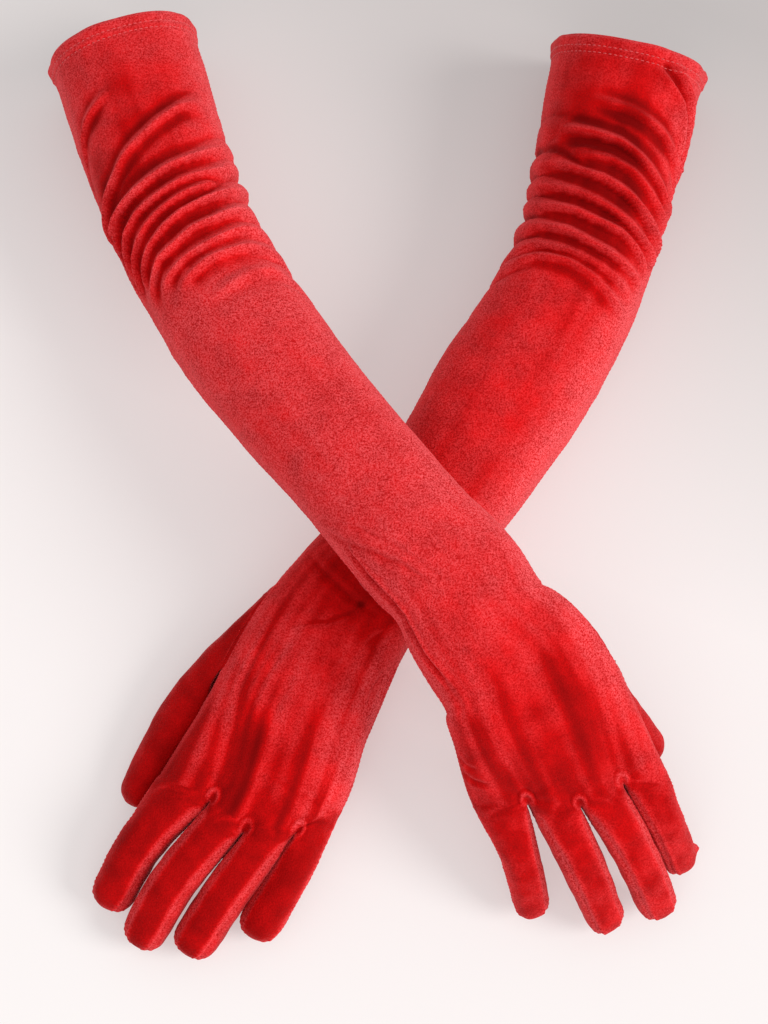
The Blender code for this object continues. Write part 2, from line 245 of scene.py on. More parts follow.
def build_cage(name, side):
    cage = Cage()
    stations = np.array(ARM[name], float)
    hole, thumb_path = THUMB[name]
    sleeve = np.linspace(HEM + 7.0, hole[0], ceil((hole[0] - HEM) / ROW) - 1)
    rows = np.concatenate([[0.9, 5.5, HEM], sleeve, np.linspace(*hole, 6)[1:]])
    if ARM_END[name] > rows[-1] + 4:
        rows = np.append(rows, ARM_END[name])
    fine = np.linspace(0, station_lengths(stations)[-1], 900)
    path = along(stations, fine)
    ahead, across, dorsal = frames_of(path[:, :3], side)
    pick = np.clip(np.searchsorted(fine, rows), 0, len(fine) - 1)
    angles = np.radians(COLUMNS)
    u, w = rounded_square(angles, ARM_SQUARENESS)
    sample = along(stations, rows)

    def arm_ring(k, s, inset=0.0):
        q, i = sample[k], pick[k]
        out = []
        for c, angle in enumerate(angles):
            point = (q[:3] + u[c] * (q[3] - inset) * across[i]
                     + w[c] * (q[4] - inset) * dorsal[i]
                     + w[c] * MOUTH_SLANT * (1 - smooth(0, 75, abs(s))) * ahead[i])
            seam = 1.0 if c in (OUTER, THUMB_COL) else 0.0
            out.append(cage.add(point, s=s, ct=cos(angle), st=sin(angle), arm=1.0,
                                seam=seam))
        return out

    # The hem folds in at the mouth: its inner facing first, then round to the outside.
    rings = []
    for s, k, inset in ((HEM + 1.0, 2, 2.2), (5.0, 1, 2.2), (0.9, 0, 2.1)):
        rings.append((-s, arm_ring(k, -s, inset)))
    mouth_out = arm_ring(0, 0.9)
    lip = [cage.add((cage.points[a] + cage.points[b]) / 2 - ahead[0] * 1.0,
                    s=0.0, ct=cos(angles[c]), st=sin(angles[c]), arm=1.0)
           for c, (a, b) in enumerate(zip(rings[-1][1], mouth_out))]
    rings.append((0.0, lip))
    rings.append((0.9, mouth_out))
    for k in range(1, len(rows)):
        rings.append((rows[k], arm_ring(k, rows[k])))

    # On from the last arm ring to the crotch line of the fingers.
    last = pick[-1]
    onward, hand_ahead, hand_across, hand_up = ahead[last], ahead[-1], across[-1], dorsal[-1]
    line = CROTCH[name]
    backs = [np.array(p[:3]) for p in line]
    palms = [b - p[3] * hand_up for b, p in zip(backs, line)]
    ring = [None] * len(COLUMNS)
    for k in range(4):
        for i in range(4):
            t = i / 3
            rise = 3.4 * (4 * t * (1 - t)) * hand_up
            ring[3 * k + i] = backs[k] * (1 - t) + backs[k + 1] * t + rise
            ring[26 - 3 * k - i] = palms[k] * (1 - t) + palms[k + 1] * t - 0.8 * rise
    ring[OUTER] = (backs[4] + palms[4]) / 2 - 3.0 * hand_across
    ring[THUMB_COL] = (backs[0] + palms[0]) / 2 + 3.0 * hand_across
    start = [np.array(cage.points[i]) for i in rings[-1][1]]
    s_last = rings[-1][0]
    finger_way = unit(np.array([np.mean([FINGER[name][f][0][:3] for f in FINGERS], axis=0)])
                      - np.mean(backs, axis=0))[0]
    reach = np.linalg.norm(np.mean(ring, axis=0) - np.mean(start, axis=0))
    steps = max(2, int(round(reach / HAND_ROW)))
    for m in range(1, steps + 1):
        t = m / steps
        out = []
        for c, (a, b) in enumerate(zip(start, ring)):
            gap = np.linalg.norm(b - a)
            q = hermite(t, a, b, onward * gap, (0.55 * finger_way + 0.45 * hand_ahead) * gap)
            seam = 1.0 if c in (OUTER, THUMB_COL) else 0.0
            out.append(cage.add(q, s=s_last + gap * t, ct=cos(angles[c]),
                                st=sin(angles[c]), arm=1.0, seam=seam))
        rings.append((s_last + HAND_ROW * m, out))

    hem_end = next(i for i, r in enumerate(rings) if r[0] >= HEM - 0.01)
    i0 = min(range(len(rings)), key=lambda i: abs(rings[i][0] - hole[0]))
    i1 = i0 + 5
    hole_columns = (27, 26, 25, 24, 23)
    for r in range(len(rings) - 1):
        skip = hole_columns if i0 <= r < i1 else ()
        part = (lambda c: "hem") if r < hem_end else arm_part
        cage.band(rings[r][1], rings[r + 1][1], part, skip=skip)

    plan = {"i0": i0, "i1": i1, "tips": {}, "roots": {}, "blend": {}}
    crotch = rings[-1][1]
    plan["crotches"] = [cage.points[crotch[3 * k]] for k in (1, 2, 3)]
    plan["across"], plan["ahead"], plan["up"] = hand_across, hand_ahead, hand_up

    # Vertical lines at the three crotches, shared by neighbouring fingers.
    mids = {}
    for k in range(1, 4):
        top, bottom = crotch[3 * k], crotch[26 - 3 * k]
        mid = (cage.points[top] + cage.points[bottom]) / 2
        mids[k] = cage.add(mid, s=s_last + 30, arm=1.0, seam=0.0)
    for k, finger in enumerate(FINGERS):
        top, bottom = finger_columns(k)
        mid_b = crotch[OUTER] if k == 3 else mids[k + 1]
        mid_a = crotch[THUMB_COL] if k == 0 else mids[k]
        base = ([crotch[c] for c in top] + [mid_b] + [crotch[c] for c in bottom] + [mid_a])
        grow_finger(cage, name, side, k, finger, base, plan)
    grow_thumb(cage, side, [r[1] for r in rings], plan, thumb_path, unit(onward))
    return cage, plan


FINGER_ANGLES = np.radians([50, 77, 103, 130, 180, 230, 257, 283, 310, 360])


def grow_finger(cage, name, side, k, finger, base, plan):
    origin = np.mean([cage.points[i] for i in base], axis=0)
    path = FINGER[name][finger]
    width = np.linalg.norm(cage.points[base[9]] - cage.points[base[4]]) / 2
    stations = np.array([(*origin, (path[0][3] * 0.7 + width * 0.3))] + path)
    length = station_lengths(stations)[-1]
    end = length + 2.0
    where = np.concatenate([np.linspace(0, 1, 8)[:7] * (end - 9.4),
                            end - np.array([9.4, 5.6, 2.8, 0.9])])
    shares = where / length
    sample = along(stations, np.minimum(where, length))
    over = np.maximum(where - length, 0)
    ahead, across, dorsal = frames_of(sample[:, :3], side)
    ahead[-1], across[-1], dorsal[-1] = ahead[-2], across[-2], dorsal[-2]
    sample[:, :3] += over[:, None] * ahead
    taper = [1, 1, 1, 1, 1, 1, 1, 1, 0.92, 0.76, 0.47]
    u, w = rounded_square(FINGER_ANGLES, FINGER_SQUARENESS)
    lower = base
    shape = [cage.points[i] - origin for i in base]
    seam_at = [0, 3, 5, 8]
    if k == 0:
        seam_at = [9, 3, 5]
    if k == 3:
        seam_at = [0, 4, 8]

    def part_of(c):
        if c < 3:
            return finger + "_back"
        if c in (3, 4):
            if k == 3:
                return finger + ("_back" if c == 3 else "_palm")
            return finger + "_outer"
        if c < 8:
            return finger + "_palm"
        if k == 0:
            return finger + ("_palm" if c == 8 else "_back")
        return finger + "_inner"

    for r in range(1, len(where)):
        square = smooth(0, 0.42, shares[r])
        half = sample[r, 3] * taper[r] * 1.03
        out = []
        for c in range(10):
            q = (sample[r, :3] + u[c] * half * across[r]
                 + w[c] * half * 0.88 * dorsal[r])
            q = (sample[r, :3] + shape[c]) * (1 - square) + q * square
            out.append(cage.add(q, s=500.0 + where[r], ct=cos(FINGER_ANGLES[c]),
                                st=sin(FINGER_ANGLES[c]), arm=0.0,
                                seam=1.0 if c in seam_at else 0.0))
        cage.band(lower, out, part_of)
        lower = out
    cap(cage, lower, 3, 2, ahead[-1], 1.8,
        lambda j: finger + ("_back" if j == 0 else "_palm"),
        dict(s=500.0 + where[-1]))
    way = unit(sample[2, :3] - origin)
    plan["roots"][finger] = (origin, way)
    plan["blend"][finger] = max((cage.points[i] - origin) @ way for i in base) + 1.0
    plan["tips"][finger] = (sample[-1, :3], ahead[-1], across[-1], half)


def grow_thumb(cage, side, rings, plan, path, lead):
    i0, i1 = plan["i0"], plan["i1"]
    ring = ([rings[r][0] for r in range(i0, i1 + 1)]
            + [rings[i1][c] for c in (27, 26, 25, 24)]
            + [rings[r][23] for r in range(i1, i0 - 1, -1)]
            + [rings[i0][c] for c in (24, 25, 26, 27)])
    origin = np.mean([cage.points[i] for i in ring], axis=0)
    stations = np.array([(*origin, path[0][3] * 1.12)] + path)
    length = station_lengths(stations)[-1]
    end = length + 2.4
    where = np.concatenate([np.linspace(0, 1, 9)[:8] * (end - 8.0),
                            end - np.array([8.0, 4.8, 2.4, 0.8])])
    shares = where / length
    sample = along(stations, np.minimum(where, length))
    ahead, across, dorsal = frames_of(sample[:, :3], side, lead)
    ahead[-1], across[-1], dorsal[-1] = ahead[-2], across[-2], dorsal[-2]
    sample[:, :3] += np.maximum(where - length, 0)[:, None] * ahead
    taper = [1] * 9 + [0.91, 0.74, 0.48]
    angles = np.radians([45 + 18 * i for i in range(20)])
    u, w = rounded_square(angles, THUMB_SQUARENESS)
    shape = [cage.points[i] - origin for i in ring]
    for i in ring:
        cage.mark(i, "seam", 1.0)
    lower = ring
    for r in range(1, len(where)):
        square = smooth(0, 0.5, shares[r])
        half = sample[r, 3] * taper[r] * 1.02
        out = []
        for c in range(20):
            q = sample[r, :3] + u[c] * half * across[r] + w[c] * half * 0.9 * dorsal[r]
            q = (sample[r, :3] + shape[c] * (1 - 0.35 * shares[r])) * (1 - square) + q * square
            out.append(cage.add(q, s=700.0 + where[r], ct=cos(angles[c]), st=sin(angles[c])))
        cage.band(lower, out, lambda c: "thumb")
        lower = out
    plan["tips"]["thumb"] = (sample[-1, :3], ahead[-1], across[-1], half)
    cap(cage, lower, 5, 5, ahead[-1], 1.4, lambda j: "thumb",
        dict(s=700.0 + where[-1]))
    plan["roots"]["thumb"] = (origin, unit(sample[3, :3] - origin))


# ---------------------------------------------------------------- subdivision
LEVELS = 3


def subdivide(cage, name):
    mesh = bpy.data.meshes.new(name + "_cage")
    mesh.from_pydata([tuple(p) for p in cage.points], [], cage.faces)
    for _ in PARTS:
        mesh.materials.append(None)
    mesh.polygons.foreach_set("material_index", cage.parts)
    for c, channel in enumerate(Cage.CHANNELS):
        layer = mesh.attributes.new(channel, "FLOAT", "POINT")
        layer.data.foreach_set("value", [v[c] for v in cage.values])
    obj = bpy.data.objects.new(name + "_cage", mesh)
    bpy.context.scene.collection.objects.link(obj)
    sub = obj.modifiers.new("smooth", "SUBSURF")
    sub.levels = sub.render_levels = LEVELS
    sub.boundary_smooth = "PRESERVE_CORNERS"
    dense = obj.evaluated_get(bpy.context.evaluated_depsgraph_get()).to_mesh()
    n = len(dense.vertices)
    co = np.empty(n * 3)
    dense.vertices.foreach_get("co", co)
    loops = np.empty(len(dense.loops), np.int64)
    dense.loops.foreach_get("vertex_index", loops)
    parts = np.empty(len(dense.polygons), np.int64)
    dense.polygons.foreach_get("material_index", parts)
    values = {}
    for channel in Cage.CHANNELS:
        v = np.empty(n)
        dense.attributes[channel].data.foreach_get("value", v)
        values[channel] = v
    bpy.data.objects.remove(obj)
    return co.reshape(-1, 3), loops.reshape(-1, 4), parts, values


def vertex_normals(co, quads):
    a, b, c, d = (co[quads[:, i]] for i in range(4))
    face = np.cross(c - a, d - b)
    normals = np.zeros_like(co)
    for i in range(4):
        np.add.at(normals, quads[:, i], face)
    return unit(normals)


# ---------------------------------------------------------------- folds
# Crests of the gathered folds: distance from the hem in mm, angle round the arm in degrees
# (0 is the thumb side, 90 the top, 180 the outer side).
FOLDS = {
    "right": [
        [(45, 123), (50, 140), (55, 152), (64, 159)],
        [(60, 52), (62, 65), (68, 84), (74, 100), (79, 114), (86, 130), (91, 146), (100, 170)],
        [(82, 22), (90, 62), (93, 86), (97, 106), (100, 125), (103, 144), (106, 156), (114, 162)],
        [(88, 5), (100, 52), (102, 82), (105, 101), (108, 122), (112, 140), (119, 154)],
        [(108, 69), (110, 87), (112, 100), (115, 116), (119, 132), (123, 144), (128, 154)],
        [(104, 6), (114, 50), (116, 70), (118, 90), (121, 107), (125, 125), (130, 138)],
        [(124, 16), (126, 47), (129, 71), (129, 89), (132, 104), (133, 120), (139, 137)],
        [(140, 24), (138, 46), (139, 68), (140, 86), (141, 104), (143, 118)],
        [(153, 28), (149, 52), (148, 72), (147, 88), (149, 102)],
        [(172, 29), (165, 45), (164, 66), (165, 86)],
    ],
    "left": [
        [(38, 85), (39, 98), (42, 112), (46, 128), (52, 145), (59, 162), (66, 168)],
        [(55, 58), (56, 77), (58, 96), (65, 118), (71, 137), (77, 154), (79, 178)],
        [(68, 78), (68, 92), (71, 109), (77, 128), (82, 146), (85, 164)],
        [(69, 2), (72, 44), (75, 68), (78, 90), (82, 107), (88, 129), (93, 148), (96, 160)],
        [(81, 0), (84, 43), (87, 72), (90, 90), (94, 108), (98, 130), (100, 146), (102, 156)],
        [(91, 4), (96, 45), (97, 75), (99, 92), (100, 112), (104, 132), (107, 144)],
        [(109, 6), (109, 50), (109, 76), (111, 92), (112, 110), (114, 130), (115, 140)],
        [(126, 20), (120, 52), (119, 76), (119, 91), (120, 108), (122, 129)],
        [(134, 30), (125, 61), (123, 86), (125, 104), (128, 118), (130, 130)],
        [(54, 8), (53, 36), (55, 62)],
    ],
}
# How strongly each crest stands up.
FOLD_FORCE = {
    "right": [0.5, 0.7, 1.1, 1.05, 1.0, 1.15, 1.1, 0.9, 0.7, 0.35],
    "left": [0.6, 0.85, 0.75, 1.1, 1.1, 1.1, 1.1, 0.9, 0.7, 0.4],
}


def fold_height(name, s, theta):
    """How far the gathered folds stand out of the sleeve, in mm."""
    grid = np.arange(-90.0, 231.0, 2.0)
    crest, fade = [], []
    for ridge, force in zip(FOLDS[name], FOLD_FORCE[name]):
        at, t = np.array(ridge, float).T
        line = np.interp(grid, t, at)
        first = (at[1] - at[0]) / (t[1] - t[0])
        line += np.where(grid < t[0], 25 * np.tanh((grid - t[0]) / 25) * first, 0)
        last = (at[-1] - at[-2]) / (t[-1] - t[-2])
        line += np.where(grid > t[-1], 20 * np.tanh((grid - t[-1]) / 20) * last, 0)
        run_in = 55 if t[0] < 35 else 20
        e = smooth(t[0] - run_in, t[0] + 6, grid) * (1 - smooth(t[-1] - 6, t[-1] + 20, grid))
        crest.append(line)
        fade.append(e * force)
    crest, fade = np.array(crest), np.array(fade)
    width = np.full((2,) + crest.shape, 7.0)
    for i in range(len(crest)):
        for j in range(len(crest)):
            if i != j:
                gap = crest[j] - crest[i]
                live = (fade[j] > 0.08) & (np.abs(gap) > 0.5)
                half = np.clip(np.abs(gap) * 0.53, 2.2, 7.0)
                up = live & (gap > 0)
                width[1, i] = np.where(up, np.minimum(width[1, i], half), width[1, i])
                down = live & (gap < 0)
                width[0, i] = np.where(down, np.minimum(width[0, i], half), width[0, i])
    box = np.ones(9) / 9
    for side in width:
        for row in side:
            row[4:-4] = np.convolve(row, box, mode="valid")
    tilt = np.gradient(crest, axis=1) / (37 * radians(2.0))
    tall = 0.50 * (width[0] + width[1]) / np.sqrt(1 + tilt ** 2) * fade
    total, cover = np.zeros_like(s), np.zeros_like(s)
    ridge_like = smooth(25, 75, theta)
    for i in range(len(crest)):
        x = s - np.interp(theta, grid, crest[i])
        w = np.where(x > 0, np.interp(theta, grid, width[1, i]),
                     np.interp(theta, grid, width[0, i]))
        h = np.interp(theta, grid, tall[i])
        t = np.clip(np.abs(x) / w, 0, 1)
        lobe = (1 - t ** 2.3) ** 0.75
        fold = np.exp(-(t / np.where(x > 0, 0.34, 0.56)) ** 2) * (1 - t ** 4)
        total += (h * (0.84 * lobe * (1 - ridge_like) + 1.08 * fold * ridge_like)) ** 4
        cover = np.maximum(cover, h * (1 - smooth(0.2, 1.9, np.abs(x) / w)))
    return total ** 0.25 - (0.62 - 0.10 * ridge_like) * cover


def field(points, scale, seed):
    """Smooth noise, about -1 to 1."""
    offset = Vector((seed * 17.3, seed * 5.1, seed * 9.7))
    return np.array([noise.noise(Vector(p) + offset) for p in (points / scale).tolist()]) * 1.6


MM_PER_DEGREE = 0.6   # round the sleeve


def line_crease(s, theta, points, width, deep):
    """One pinched line through (mm from hem, degrees) points, fading at both ends."""
    at, t = np.array(points, float).T
    span = np.hypot(np.diff(at), np.diff(t) * MM_PER_DEGREE)
    way = np.concatenate([[0], np.cumsum(span)])
    fine = np.linspace(0, way[-1], 60)
    ps, pt = np.interp(fine, way, at), np.interp(fine, way, t)
    out = np.zeros(s.shape)
    near = np.abs(s - np.median(ps)) < 80
    dist = np.hypot(s[near, None] - ps, (theta[near, None] - pt) * MM_PER_DEGREE)
    u = fine[np.argmin(dist, axis=1)] / way[-1]
    d = dist.min(axis=1)
    ends = np.clip(4 * u * (1 - u), 0, 1) ** 0.5
    out[near] = deep * ends * (0.55 * bell(d - 1.9 * width, width) - bell(d, width))
    return out


# How light the velvet's tone is along each glove, partly from the lie of its fibres and partly
# painted light:
# painted highlight where the light falls, painted shade and shadow elsewhere; mm from the hem
# against the thumb side, the top and the outer side.
NAP_AND_LIGHT = {
    "right": [(0, 0.5, 0.45, 0.5), (14, 0.6, 0.30, 0.35), (40, 0.7, 0.06, 0.40),
              (75, 0.75, 0.10, 0.05), (130, 0.75, 0.22, 0.12), (165, 0.9, 0.62, 0.45),
              (250, 0.95, 0.55, 0.35), (310, 0.95, 0.60, 0.45), (355, 1.0, 0.34, 0.45),
              (396, 1.0, 0.02, 0.30), (416, 0.6, -0.12, 0.05), (440, 0.2, -0.08, -0.05)],
    "left": [(0, 0.3, 0.30, 0.6), (14, 0.2, 0.06, 0.5), (40, 0.1, -0.12, 0.6),
             (75, 0.10, -0.08, 0.5), (130, 0.35, 0.20, 0.9), (165, 0.42, 0.22, 1.0),
             (250, 0.3, 0.26, 1.0), (310, 0.05, -0.18, 0.2), (345, 0.22, 0.20, 0.75),
             (380, 0.24, 0.14, 0.9), (398, 0.08, -0.08, 0.8), (414, -0.02, -0.12, 0.5),
             (440, -0.16, -0.14, 0.0)],
}


def pile(name, s, theta, arm, height, ring, co):
    """The velvet's tone over a glove, partly the lie of its fibres and partly painted light:
    painted highlight on fold crests, painted shade in hollows and on the fingers.
    """
    table = np.array(NAP_AND_LIGHT[name])
    rows = [np.interp(s, table[:, 0], table[:, c]) for c in (1, 2, 3)]
    up = smooth(15, 75, theta)
    over = smooth(105, 165, theta)
    under = np.clip((theta - 200) / 40, 0, 1) + np.clip(-theta / 40, 0, 1)
    nap_and_light = rows[0] * (1 - up) + rows[1] * up * (1 - over) + rows[2] * over
    nap_and_light = nap_and_light * (1 - under) + 0.3 * under
    # Painted highlight on the fold crests, stronger on the right glove, and painted shade in the
    # hollows and creases.
    crest = {"right": 0.44, "left": 0.24}[name]
    nap_and_light += crest * smooth(0.7, 3.0, height) - 0.42 * smooth(-0.1, -1.5, height)
    streaks = field(ring * np.array([0.10, 1.9, 1.9]), 9.0, 23)
    nap_and_light += streaks * (0.10 + {"right": 0.12, "left": 0.26}[name] * smooth(320, 350, s))
    nap_and_light += 0.10 * field(ring, 13.0, 29)
    # Painted shade on the fingers, deeper on the left glove.
    digit = {"right": -0.06, "left": -0.20}[name] + 0.09 * field(co, 8.0, 31)
    return nap_and_light * arm + digit * (1 - arm)


# Single creases: (mm from the hem, degrees) points, width, depth.
CREASES = {
    "right": [
        ([(296, 150), (310, 152), (326, 152), (344, 154), (360, 152), (370, 146)], 1.5, 3.0),
        ([(287, 158), (298, 144), (307, 129), (318, 118), (333, 110)], 1.7, 1.3),
        ([(261, 144), (273, 124), (286, 107), (298, 96), (309, 88)], 1.9, 0.8),
        ([(276, 160), (285, 144), (296, 125), (311, 110), (341, 100)], 1.6, 0.9),
        ([(299, 168), (308, 176), (320, 180), (330, 174)], 1.5, 1.2),
        ([(360, 116), (375, 117), (392, 118), (410, 118)], 2.2, 0.5),
        ([(372, 100), (390, 99), (412, 100)], 2.4, 0.35),
        ([(362, 138), (380, 134), (398, 134)], 2.0, 0.45),
        ([(424, 168), (430, 158), (434, 146)], 1.4, 0.9),
        ([(414, 172), (421, 160), (424, 150)], 1.3, 0.6),
    ],
    "left": [
        ([(8, 112), (15, 130), (22, 146), (32, 157), (46, 164), (64, 170)], 2.4, 4.2),
        ([(312, 30), (315, 60), (317, 93), (316, 116)], 1.8, 1.0),
        ([(343, 66), (333, 87), (322, 98), (308, 103)], 1.8, 1.1),
        ([(328, 176), (336, 168), (346, 166), (353, 172)], 1.6, 1.4),
        ([(340, 92), (352, 96), (366, 102), (382, 107)], 1.5, 0.7),
        ([(344, 74), (358, 70), (380, 66), (400, 62)], 1.5, 0.6),
        ([(334, 108), (351, 103), (369, 108), (386, 114)], 1.5, 0.7),
        ([(346, 54), (362, 52), (384, 50)], 1.5, 0.5),
        ([(352, 84), (372, 84), (396, 80)], 1.4, 0.5),
        ([(348, 128), (362, 130), (378, 128)], 1.6, 0.7),
        ([(338, 150), (348, 146), (360, 148)], 1.7, 0.9),
        ([(320, 130), (328, 122), (336, 120)], 1.6, 0.8),
        ([(410, 92), (413, 112), (413, 134), (414, 158)], 2.2, 0.8),
    ],
}


# Corners left at the fingertips where the seams turn: aside, onward, height, spread.
TIP_CORNERS = {
    "right": {"index": [(0.85, -7.5, 4.0, 2.5)], "ring": [(-0.15, 1.5, 2.2, 3.0)],
              "thumb": [(-0.8, -1.0, 2.4, 2.8)], "middle": [(-0.75, -1.5, 0.6, 2.2)],
              "little": [(0.8, -2.0, 0.6, 2.2)]},
    "left": {"thumb": [(-0.6, -1.5, 1.6, 2.6)], "index": [(0.8, -3.5, 0.9, 2.6)],
             "ring": [(0.7, -1.5, 0.7, 2.2)], "little": [(-0.8, -2.5, 0.7, 2.4)]},
}


STITCH_ROWS = (6.6, 10.0)       # mm from the cuff's edge
LOWEST, SOFTENED = 0.10, 1.5    # the cloth's lowest point, and the band it eases into


def shape_cloth(name, co, quads, val, plan):
    """Pushes the smooth skin into its folds, creases, seams and hem."""
    n = vertex_normals(co, quads)
    s, arm = val["s"], val["arm"]
    theta = np.degrees(np.arctan2(val["st"], val["ct"]))
    theta = np.where(theta < -90, theta + 360, theta)
    on_arm = arm > 0.999
    outside = s > 0
    ring = np.stack([s, 34 * val["ct"], 34 * val["st"]], 1)
    d = np.zeros(len(co))
    gathers = np.zeros(len(co))

    # Gathered folds above the elbow.
    sel = on_arm & (s > HEM) & (s < 200)
    height = fold_height(name, s[sel], theta[sel])
    vary = 1 + 0.22 * field(ring[sel] * np.array([1.0, 0.7, 0.7]), 22.0, 3)
    gathers[sel] = height * vary * smooth(HEM + 4, HEM + 22, s[sel])
    d += gathers

    # Slack between the folds, tension lines down the arm, and cloth texture everywhere.
    flat = np.where(on_arm, 1.0, 0.0)
    wide = field(ring * np.array([0.9, 1.0, 1.0]), 26.0, 5)
    fine = field(ring * np.array([2.0, 0.8, 0.8]), 14.0, 7)
    long_way = field(ring * np.array([0.28, 1.6, 1.6]), 12.0, 11)
    quiet = smooth(HEM, HEM + 18, s)
    elbow = smooth(25, 60, s) * (1 - smooth(150, 200, s))
    hand = smooth(310, 350, s)
    d += flat * quiet * (0.35 * wide + (0.12 + 0.25 * elbow) * fine)
    d += flat * quiet * (0.10 + 0.22 * hand) * long_way
    digit = 1 - smooth(0.5, 1.0, arm)
    d += digit * 0.22 * field(co, 9.0, 13)
    d += digit * 0.10 * field(co, 4.0, 17)
    for points, width, deep in CREASES[name]:
        sel = on_arm & outside
        pinch = line_crease(s[sel], theta[sel], points, width, deep)
        d[sel] += pinch
        gathers[sel] += 0.8 * pinch

    # Pulls that run back from each crotch between the fingers, round a raised rim that gets a
    # painted highlight.
    painted_rim_highlight = np.zeros(len(co))
    for k, crotch in enumerate(plan["crotches"]):
        v = co - crotch
        r = np.linalg.norm(v, axis=1)
        top = v @ plan["up"] > -6
        behind = top * (1 - smooth(-1, 5, v @ plan["ahead"]))
        d -= bell(r, 2.6)
        slot = np.linalg.norm(v + 0.6 * (v @ plan["across"])[:, None] * plan["across"], axis=1)
        roll = 0.95 * bell(slot - 4.2, 1.0) - 0.6 * bell(slot - 6.4, 1.0)
        d += behind * roll
        gathers += 0.9 * behind * roll
        painted_rim_highlight += 0.5 * behind * bell(slot - 4.0, 1.2)
        spin = np.arctan2(v @ plan["across"], -(v @ plan["ahead"]))
        d += 0.35 * np.cos(spin * 7 + k) * bell(r - 10, 5) * top

    # Seams draw the cloth in, with a pucker at each stitch group.
    x = (1 - np.clip(val["seam"], 0, 1)) * np.where(arm > 0.5, 8.0, 4.5)
    deep = np.where(arm > 0.5, 0.45, 0.75) * outside * smooth(HEM, HEM + 3, np.where(
        on_arm, s, 999.0))
    d -= deep * bell(x, 0.7) * (1 + 0.35 * np.sin(s * 2.6))
    d += 0.30 * deep * bell(x - 1.9, 0.9) * (1 + np.sin(s * 2.6))

    # The turned hem: a thicker band, drawn in along its stitch rows.
    band = on_arm & outside & (s < HEM + 6)
    sb = s[band]
    d[band] += 0.55 * (1 - smooth(HEM - 1.2, HEM + 0.8, sb)) * smooth(0, 2, sb)
    d[band] += 0.35 * bell(sb - 2.8, 1.6)
    d[band] -= 0.85 * bell(sb - STITCH_ROWS[1], 0.9) + 0.35 * bell(sb - STITCH_ROWS[0], 0.8)
    around = theta[band]
    seams = 1.5 * bell(around - 180, 7) + 0.9 * bell(around, 8)
    d[band] += seams * (1 - smooth(3, 16, sb))
    d[band] += 0.10 * np.sin(around * 0.9) * bell(sb - 8.3, 4)
    wavy = field(ring[band] * np.array([0.2, 1, 1]), 16.0, 19)
    d[band] += 0.5 * wavy * (1 - smooth(0, HEM + 6, sb))

    out = co + n * d[:, None]

    # Fingertips: some seams end in small turned corners.
    for finger, (tip, ahead, across, half) in plan["tips"].items():
        for aside, onward, size, spread in TIP_CORNERS[name].get(finger, ()):
            corner = tip + 2.1 * half * aside * across + ahead * onward
            r = np.linalg.norm(out - corner, axis=1)
            push = size * bell(r, spread)
            out += push[:, None] * unit(aside * across + 0.5 * ahead)
    # Painted sheen along the finger seams and painted highlight on the crotch rims, added to the
    # stored tone.
    painted_seam_sheen = (1 - arm) * bell(x, 2.2) * 0.6
    val["nap_and_light"] = np.clip(pile(name, s, theta, np.clip(arm, 0, 1), gathers, ring, co)
                         + painted_seam_sheen + painted_rim_highlight, -0.6, 1)

    # Nothing sinks into the surface that the pair lies on.
    above = out[:, 2] - (LOWEST + SOFTENED)
    out[:, 2] = LOWEST + SOFTENED * np.exp(np.minimum(above, 0) / SOFTENED) + np.maximum(above, 0)
    return out


# ---------------------------------------------------------------- pieces
NODE_OF = {"hem": "cuff_hem", "index_outer": "index_fourchette",
           "little_inner": "little_fourchette"}
for f in ("middle", "ring"):
    NODE_OF[f + "_inner"] = f + "_fourchette_inner"
    NODE_OF[f + "_outer"] = f + "_fourchette_outer"
LINING = 0.8    # from the pile to the knit backing, mm


def to_world(points):
    return (np.asarray(points) + SHIFT) * MM


def mesh_object(name, points, faces, materials, slots=None, normals=None):
    mesh = bpy.data.meshes.new(name)
    mesh.from_pydata(np.asarray(points).tolist(), [], np.asarray(faces).tolist())
    for material in materials:
        mesh.materials.append(material)
    if slots is not None:
        mesh.polygons.foreach_set("material_index", slots)
    mesh.polygons.foreach_set("use_smooth", [True] * len(mesh.polygons))
    if normals is not None:
        mesh.normals_split_custom_set_from_vertices(normals.tolist())
    obj = bpy.data.objects.new(name, mesh)
    bpy.context.scene.collection.objects.link(obj)
    return obj


def cut_piece(name, co, normals, nap_and_light, quads, materials, lined):
    """One piece of the cloth, with its knit backing inside where it is lined."""
    used, faces = np.unique(quads, return_inverse=True)
    faces = faces.reshape(-1, 4)
    points, norm, nap_and_light = co[used], normals[used], nap_and_light[used]
    slots = None
    if lined:
        inner = points - norm * LINING
        faces = np.concatenate([faces, faces[:, ::-1] + len(points)])
        slots = np.repeat([0, 1], len(faces) // 2)
        points = np.concatenate([points, inner])
        norm = np.concatenate([norm, -norm])
        nap_and_light = np.concatenate([nap_and_light, nap_and_light])
    piece = mesh_object(name, to_world(points), faces, materials if lined else materials[:1],
                        slots, norm)
    layer = piece.data.attributes.new("nap_and_light", "FLOAT", "POINT")
    layer.data.foreach_set("value", nap_and_light)
    return piece


def contour(co, normals, quads, values, level):
    """Points where `values` crosses `level` along the mesh edges, with normals."""
    edges = np.concatenate([quads[:, [i, (i + 1) % 4]] for i in range(4)])
    edges = np.unique(np.sort(edges, axis=1), axis=0)
    a, b = values[edges[:, 0]] - level, values[edges[:, 1]] - level
    hit = (a * b < 0)
    t = (a[hit] / (a[hit] - b[hit]))[:, None]
    i, j = edges[hit].T
    return co[i] * (1 - t) + co[j] * t, unit(normals[i] * (1 - t) + normals[j] * t), i


